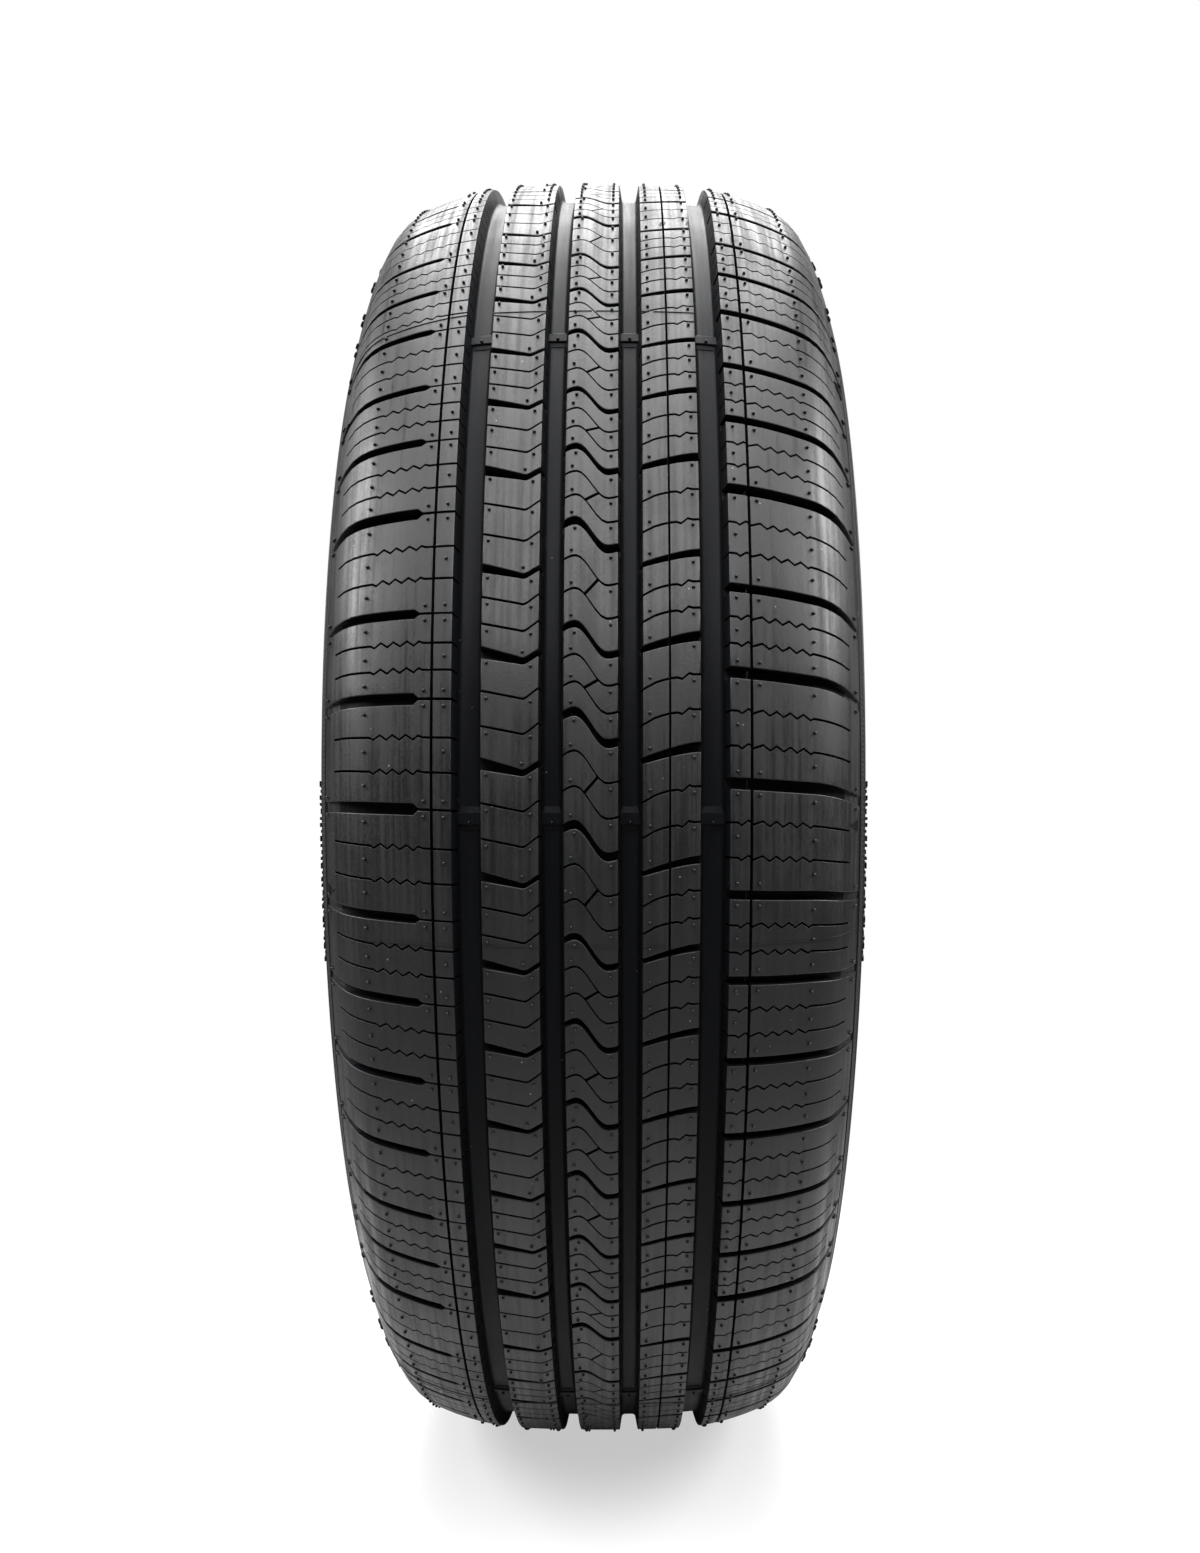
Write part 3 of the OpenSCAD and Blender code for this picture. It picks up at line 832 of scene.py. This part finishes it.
# %% [markdown]
# ## Joint lines of the mould
# The mould of a tread closes in eight segments. Each joint leaves a line of rubber as thin as a hair across the
# blocks. It is a row of flat boxes. Only the two joints that face the camera leave out the boxes over a cut.

# %% Where the joint lines run
JOINT_AT = [-7.5 + 45 * i for i in range(8)]
JOINT_HALF, JOINT_ROOT, JOINT_TOP = 0.22, -0.15, 0.34
JOINT_END = 107.0
BOX_STEP, BOX_OVERLAP = 1.6, 0.02
NARROW_ROOM = 0.6  # from the middle of a shoulder's narrow groove
CUT_HALVES = (2.4, 0.4, 0.4)  # half of the slot and of the sipes, with their rims
CUT_ROOM = 0.5
TOPS = (("left", -JOINT_END, NARROW_LEFT - NARROW_ROOM), ("left", NARROW_LEFT + NARROW_ROOM, -SHOULDER_IN),
        ("bent", -RIB_OUT, -RIB_IN), ("middle", -MIDDLE_EDGE, MIDDLE_EDGE),
        ("curved", RIB_IN, SPLIT_FROM), ("curved", SPLIT_TO, RIB_OUT),
        ("right", SHOULDER_IN, NARROW_RIGHT - NARROW_ROOM), ("right", NARROW_RIGHT + NARROW_ROOM, JOINT_END))


def over_cut(row, along, across):
    """True over a slot or a sipe. starts runs down from FIRST_AT, so beyond FIRST_AT it is never true."""
    near = np.where(np.abs(starts - along) < 3 * medium)[0]
    return any(abs(cut_at(i, cut, across, row) - along) < half + CUT_ROOM
               for i in near for cut, half in enumerate(CUT_HALVES))


def strip_of_boxes(row, start, end, along):
    edges = np.linspace(start, end, max(2, int(round((end - start) / BOX_STEP))) + 1)
    return [((along - JOINT_HALF, along + JOINT_HALF), (a0, a1 + BOX_OVERLAP), (JOINT_ROOT, JOINT_TOP))
            for a0, a1 in zip(edges, edges[1:]) if not over_cut(row, along, (a0 + a1) / 2)]


# %% Joint lines
def boxes_piece(name, boxes, material):
    """One cube, copied to each box given by its ends along, across and up."""
    piece = add_shape(name, bpy.ops.mesh.primitive_cube_add, size=1, location=(0, 0, 0))
    corner = points_of(piece) + 0.5
    ends = [np.array(box, float).T for box in boxes]
    fill_with_copies(piece, [low + corner * (high - low) for low, high in ends])
    finish_piece(piece, material)


joints = []
for angle in JOINT_AT:
    for row, start, end in TOPS:
        joints += strip_of_boxes(row, start, end, angle * DEGREE)
boxes_piece("joint_lines", joints, tread_rubber)

# %% [markdown]
# ## Triangles and ribs
# Small triangles at the edge of the shoulder show where the wear bars are. Lower on each sidewall stand two
# plain fields of short ribs. Both are one simple shape each, copied along the strip.

# %% Triangles beside the wear bars
TRIANGLE_R, TRIANGLE_H, TRIANGLE_AT = 3.3, 1.0, 104.6
TRIANGLE_SQUASH, TRIANGLE_LIFT, TRIANGLE_RIM = 0.8, 0.1, 0.2
TRIANGLE_OFF = ((-1, -4.9), (1, -0.4))  # side, and degrees from the bar
triangle = add_shape("wear_triangles", bpy.ops.mesh.primitive_cylinder_add, vertices=3, radius=TRIANGLE_R * MM,
                     depth=TRIANGLE_H * MM, location=(0, 0, 0))
edit(triangle, lambda: bpy.ops.mesh.bevel(offset=TRIANGLE_RIM * MM, segments=1, affect="EDGES"))
shape = points_of(triangle) / MM
copies = []
for angle in BAR_AT:
    for side, off in TRIANGLE_OFF:
        pointing = shape * (1, -side * TRIANGLE_SQUASH, 1)
        copies.append(pointing + ((angle + off) * DEGREE, side * TRIANGLE_AT, TRIANGLE_LIFT))
fill_with_copies(triangle, copies)
finish_piece(triangle, dark_rubber_and_shade, angle=20)

# %% Ribs on the sidewalls, in two short fields at the front and the back
RIB_LENGTHS, RIB_GAP = (2.0, 1.4, 2.6, 1.4), 1.5
FIELD_FROM, FIELD_TO = -11.0, 3.6  # degrees
RIB_FROM, RIB_TO = 111.9, 113.4  # distance from the middle
RIB_ROOT, RIB_TOP = -0.3, 1.4
RIB_INSET, RIB_DROP = 0.25, 0.35  # of every second and of every third rib
fields = []
for half_turn in (0, 180):
    for side in (-1, 1):
        along, k = (half_turn + FIELD_FROM) * DEGREE, 0
        while along < (half_turn + FIELD_TO) * DEGREE:
            length = RIB_LENGTHS[k % len(RIB_LENGTHS)]
            ends = sorted((side * (RIB_FROM + RIB_INSET * (k % 2)), side * RIB_TO))
            fields.append(((along, along + length), ends, (RIB_ROOT, RIB_TOP - RIB_DROP * (k % 3 == 1))))
            along += length + RIB_GAP
            k += 1
boxes_piece("sidewall_ribs", fields, dark_rubber_and_shade)

# %% [markdown]
# ## Serrated band
# Just outside the line at the edge of the shoulder runs a band of fine ribs. It is a closed tube made from one
# grid, like the rows of blocks, and every second row of its top stands up.

# %% Band of fine ribs on each shoulder
BAND_FROM, BAND_TO = 109.2, 111.6
BAND_RIBS, BAND_HIGH, BAND_LOW, BAND_ROOT = 900, 0.45, 0.05, -0.6


def serrated_band(name, side):
    piece, row, column = numbered_grid(name, 2 * BAND_RIBS + 1, 5)
    mid = (BAND_FROM + BAND_TO) / 2
    across = np.array([BAND_FROM, mid, BAND_TO, mid, BAND_FROM])[column]
    rise = np.where(row % 2 == 1, BAND_HIGH, BAND_LOW)
    up = np.choose(column, [rise * 0, rise, rise * 0, rise * 0 + BAND_ROOT, rise * 0])
    set_points(piece, wrapped(np.stack([-row * ROUND / (2 * BAND_RIBS), side * across, up], 1)))
    edit(piece, merge, outwards)
    finish_piece(piece, body_rubber, angle=20)


serrated_band("serration_left", -1)
serrated_band("serration_right", 1)

# %% [markdown]
# ## Rubber
# Cured rubber is nearly black and scatters little light. What is seen is mostly a wide, soft reflection, broken
# by the grain of the mould, by faint streaks from turning and brushing, and by a little pale dust. These
# effects are node groups, so that the tread and the body share them with other values.

# %% Small helpers for nodes
def new_group(name, inputs, outputs):
    group = bpy.data.node_groups.new(name, "ShaderNodeTree")
    for label, kind, value in inputs:
        socket = group.interface.new_socket(label, in_out="INPUT", socket_type=kind)
        if value is not None:
            socket.default_value = value
    for label, kind in outputs:
        group.interface.new_socket(label, in_out="OUTPUT", socket_type=kind)
    enter, leave = group.nodes.new("NodeGroupInput"), group.nodes.new("NodeGroupOutput")
    return group, enter.outputs, leave.inputs


def add_node(tree, kind, inputs=(), **settings):
    """Adds a node. Each input is a value, or another node's socket to link."""
    node = tree.nodes.new(kind)
    for label, value in settings.items():
        setattr(node, label, value)
    for label, value in dict(inputs).items():
        if isinstance(value, bpy.types.NodeSocket):
            tree.links.new(value, node.inputs[label])
        else:
            node.inputs[label].default_value = value
    return node


def maths(tree, operation, first, second):
    return add_node(tree, "ShaderNodeMath", {0: first, 1: second}, operation=operation).outputs[0]


def noise(tree, place, scale, **more):
    return add_node(tree, "ShaderNodeTexNoise", {"Vector": place, "Scale": scale, **more}).outputs["Fac"]


def map_range(tree, value, from_min, from_max, to_min=0.0, to_max=1.0, **settings):
    return add_node(tree, "ShaderNodeMapRange", {"Value": value, "From Min": from_min, "From Max": from_max,
                                                 "To Min": to_min, "To Max": to_max}, **settings).outputs[0]


def put(tree, socket, value):
    tree.links.new(value, socket)


def empty_tree(owner):
    """The node tree of a material or world, with nothing in it."""
    owner.use_nodes = True
    owner.node_tree.nodes.clear()
    return owner.node_tree


def colour_mix(tree, factor, first, second):
    return add_node(tree, "ShaderNodeMixRGB", {"Fac": factor, "Color1": first, "Color2": second}).outputs[0]


# %% Group: grain of the mould, as a height and as a change of gloss
grain, enter, leave = new_group(
    "mould grain", [("Position", "NodeSocketVector", None), ("Grain size", "NodeSocketFloat", 900.0)],
    [("Height", "NodeSocketFloat"), ("Gloss", "NodeSocketFloat")])
fine = noise(grain, enter["Position"], enter["Grain size"], Detail=3.0, Roughness=0.6)
broad = noise(grain, enter["Position"], 38.0, Detail=4.0)
put(grain, leave["Height"], fine)
put(grain, leave["Gloss"], maths(grain, "MULTIPLY", maths(grain, "ADD", fine, broad), 0.5))
print(grain.name, len(grain.nodes), "nodes")

# %% Group: streaks that run round the tyre, because the noise is stretched the other way
streaks, enter, leave = new_group(
    "round streaks", [("Position", "NodeSocketVector", None), ("Fineness", "NodeSocketFloat", 420.0)],
    [("Streak", "NodeSocketFloat")])
stretch = add_node(streaks, "ShaderNodeCombineXYZ", {"X": 9.0, "Y": enter["Fineness"], "Z": 9.0})
long_place = add_node(streaks, "ShaderNodeVectorMath", {0: enter["Position"], 1: stretch.outputs[0]},
                      operation="MULTIPLY")
put(streaks, leave["Streak"], noise(streaks, long_place.outputs[0], 1.0, Detail=3.0, Roughness=0.55))
print(streaks.name, len(streaks.nodes), "nodes")

# %% Group: pale specks of dust, in a few of the cells of a Voronoi pattern
dust, enter, leave = new_group(
    "dust specks", [("Position", "NodeSocketVector", None), ("Amount", "NodeSocketFloat", 0.5)],
    [("Mask", "NodeSocketFloat")])
cells = add_node(dust, "ShaderNodeTexVoronoi", {"Vector": enter["Position"], "Scale": 260.0, "Randomness": 1.0})
near = map_range(dust, cells.outputs["Distance"], 0.10, 0.04)
pick = add_node(dust, "ShaderNodeSeparateColor", {"Color": cells.outputs["Color"]})
few = maths(dust, "GREATER_THAN", pick.outputs[0], 0.93)
speck = maths(dust, "MULTIPLY", near, few)
put(dust, leave["Mask"], maths(dust, "MULTIPLY", speck, enter["Amount"]))
print(dust.name, len(dust.nodes), "nodes")

# %% Rubber from the shared groups
DUST = (0.30, 0.30, 0.29, 1)
GRAIN_DEPTH = 0.0002  # metres
GLOSS_FROM, GLOSS_TO = 0.82, 1.18  # between which the sum of the two noises mostly lies


def rubber(material, dark, light, rough, bump, dust_amount, fineness, shine):
    tree = empty_tree(material)
    place = add_node(tree, "ShaderNodeTexCoord").outputs["Object"]
    grains = add_node(tree, "ShaderNodeGroup", {"Position": place}, node_tree=grain).outputs
    streak = add_node(tree, "ShaderNodeGroup", {"Position": place, "Fineness": fineness},
                      node_tree=streaks).outputs["Streak"]
    specks = add_node(tree, "ShaderNodeGroup", {"Position": place, "Amount": dust_amount},
                      node_tree=dust).outputs["Mask"]
    dusty = colour_mix(tree, specks, colour_mix(tree, streak, dark, light), DUST)
    roughness = map_range(tree, maths(tree, "ADD", grains["Gloss"], streak), GLOSS_FROM, GLOSS_TO, *rough)
    relief = add_node(tree, "ShaderNodeBump", {"Height": grains["Height"], "Strength": bump,
                                               "Distance": GRAIN_DEPTH})
    shader = add_node(tree, "ShaderNodeBsdfPrincipled", {
        "Base Color": dusty, "Roughness": roughness, "Normal": relief.outputs[0],
        "Specular IOR Level": shine})
    add_node(tree, "ShaderNodeOutputMaterial", {"Surface": shader.outputs[0]})
    print(material.name, len(tree.nodes), "nodes")


rubber(tread_rubber, dark=(0.0050, 0.0052, 0.0055, 1), light=(0.0095, 0.0099, 0.0104, 1),
       rough=(0.31, 0.59), bump=0.25, dust_amount=0.9, fineness=420.0, shine=0.5)
# The darker rubber reflects little, which paints the shade in the cuts, on the wear bars and on the flanks of
# the pips; on the triangles and sidewall ribs it is just darker rubber.
rubber(dark_rubber_and_shade, dark=(0.0045, 0.005, 0.006, 1), light=(0.0085, 0.009, 0.0105, 1),
       rough=(0.34, 0.46), bump=0.15, dust_amount=0.5, fineness=260.0, shine=0.07)
rubber(body_rubber, dark=(0.0065, 0.0068, 0.0072, 1), light=(0.011, 0.0114, 0.012, 1),
       rough=(0.40, 0.56), bump=0.3, dust_amount=0.3, fineness=300.0, shine=0.45)

# %% [markdown]
# ## Floor, light and camera
# The tyre stands on a plain pale floor. The camera sees it near the tyre, where it keeps the shadow, and
# further out it fades into the white background. For the light it is grey, and darker further out, so that
# little of it comes up from below.

# %% Floor
FLOOR_R = 6.0
FLOOR_SEEN = (0.84, 0.84, 0.84, 1)
FLOOR_NEAR, FLOOR_FAR = (0.52, 0.52, 0.52, 1), (0.17, 0.17, 0.17, 1)  # to the light
LIT_FROM, LIT_TO = 0.36, 0.64  # metres from the spot under the axle
FADE_FROM, FADE_TO = 0.2, 0.6
LEAST_GLOW = 0.55
floor = add_shape("floor", bpy.ops.mesh.primitive_circle_add, vertices=96, radius=FLOOR_R, fill_type="NGON",
                  location=(0, 0, FLOOR_Z))
pale = bpy.data.materials.new("pale floor")
tree = empty_tree(pale)
path = add_node(tree, "ShaderNodeLightPath")
glow = add_node(tree, "ShaderNodeEmission", {"Color": (1, 1, 1, 1), "Strength": 1.0})
place = add_node(tree, "ShaderNodeTexCoord").outputs["Object"]
away = add_node(tree, "ShaderNodeVectorMath", {0: place, 1: (0, 0, FLOOR_Z)}, operation="DISTANCE")
nearby = map_range(tree, away.outputs["Value"], LIT_FROM, LIT_TO, 1.0, 0.0)
lit = colour_mix(tree, nearby, FLOOR_FAR, FLOOR_NEAR)
shade = colour_mix(tree, path.outputs["Is Camera Ray"], lit, FLOOR_SEEN)
matt = add_node(tree, "ShaderNodeBsdfDiffuse", {"Color": shade})
fade = map_range(tree, away.outputs["Value"], FADE_FROM, FADE_TO, interpolation_type="SMOOTHSTEP")
white = maths(tree, "MULTIPLY", maths(tree, "MAXIMUM", fade, LEAST_GLOW), path.outputs["Is Camera Ray"])
mixed = add_node(tree, "ShaderNodeMixShader", {"Fac": white, 1: matt.outputs[0], 2: glow.outputs[0]})
add_node(tree, "ShaderNodeOutputMaterial", {"Surface": mixed.outputs[0]})
floor.data.materials.append(pale)

# %% World: white to the camera, a plain level of light to the tyre, which has no metal to mirror the white
LEVEL = 0.09
world = bpy.data.worlds.new("studio")
bpy.context.scene.world = world
tree = empty_tree(world)
path = add_node(tree, "ShaderNodeLightPath")
seen = maths(tree, "MAXIMUM", path.outputs["Is Camera Ray"], path.outputs["Is Transmission Ray"])
soft = add_node(tree, "ShaderNodeBackground", {"Color": (1, 1, 1, 1), "Strength": LEVEL})
shown = add_node(tree, "ShaderNodeBackground", {"Color": (1, 1, 1, 1), "Strength": 1.0})
mixed = add_node(tree, "ShaderNodeMixShader", {"Fac": seen, 1: soft.outputs[0], 2: shown.outputs[0]})
add_node(tree, "ShaderNodeOutputWorld", {"Surface": mixed.outputs[0]})

# %% [markdown]
# A long lamp overhead gives the bright sheen on the top of the tread, which fades towards the middle. One
# behind the tyre lights its back and crown, and two on each side lift the shoulders, which turn away from the
# camera.


# %% Lamps: places and aims in metres
def softbox(name, place, aim, size, watts):
    lamp = bpy.data.lights.new(name, "AREA")
    lamp.shape, lamp.size, lamp.size_y, lamp.energy = "RECTANGLE", size[0], size[1], watts
    holder = bpy.data.objects.new(name, lamp)
    bpy.context.scene.collection.objects.link(holder)
    holder.location = place
    towards = mathutils.Vector(aim) - mathutils.Vector(place)
    holder.rotation_euler = towards.to_track_quat("-Z", "Y").to_euler()
    print(name, watts, "W")


softbox("lamp overhead", place=(0.26, 0.0, 1.30), aim=(0.1, 0.0, 0.25), size=(1.3, 3.8), watts=78)
softbox("lamp behind", place=(-0.7, 0.0, 1.1), aim=(0.0, 0.0, 0.2), size=(1.0, 3.0), watts=12)
for side in (-1, 1):
    softbox("lamp at the side %+d" % side, place=(0.0, side * 1.5, 0.95), aim=(0.1, 0.0, 0.1),
            size=(1.2, 0.9), watts=22)
    softbox("lamp in front %+d" % side, place=(0.65, side * 1.35, 0.95), aim=(0.2, 0.0, 0.1),
            size=(1.0, 0.9), watts=17)

# %% [markdown]
# The camera stands 2.6 tyre radii in front of the axle and looks a little down. The photograph is cropped off
# its centre, so the lens is shifted as much.

# %% Camera, at the photograph's place
PHOTO_W, PHOTO_H = 1200, 1553
CAMERA_FAR, CAMERA_SIDE, LOOK_DOWN = 2.6 * OUTER_R * MM, 0.0128, 4.15
FOCAL_PX, CENTRE_X, CENTRE_Y = 1484.4, 624.6, 933.9
SENSOR = 36
lens = bpy.data.cameras.new("camera")
camera = bpy.data.objects.new("camera", lens)
bpy.context.scene.collection.objects.link(camera)
camera.location = (CAMERA_FAR, CAMERA_SIDE, 0)
camera.rotation_euler = (math.radians(90 - LOOK_DOWN), 0, math.radians(90))
lens.sensor_fit = "AUTO"
lens.sensor_width = SENSOR
lens.lens = FOCAL_PX / PHOTO_H * SENSOR
lens.shift_x = -(CENTRE_X - PHOTO_W / 2) / PHOTO_H
lens.shift_y = (CENTRE_Y - PHOTO_H / 2) / PHOTO_H
lens.clip_start = 0.01
bpy.context.scene.camera = camera
bpy.context.scene.view_settings.view_transform = "Standard"
print("lens", round(lens.lens, 2), "shift", round(lens.shift_x, 4), round(lens.shift_y, 4))
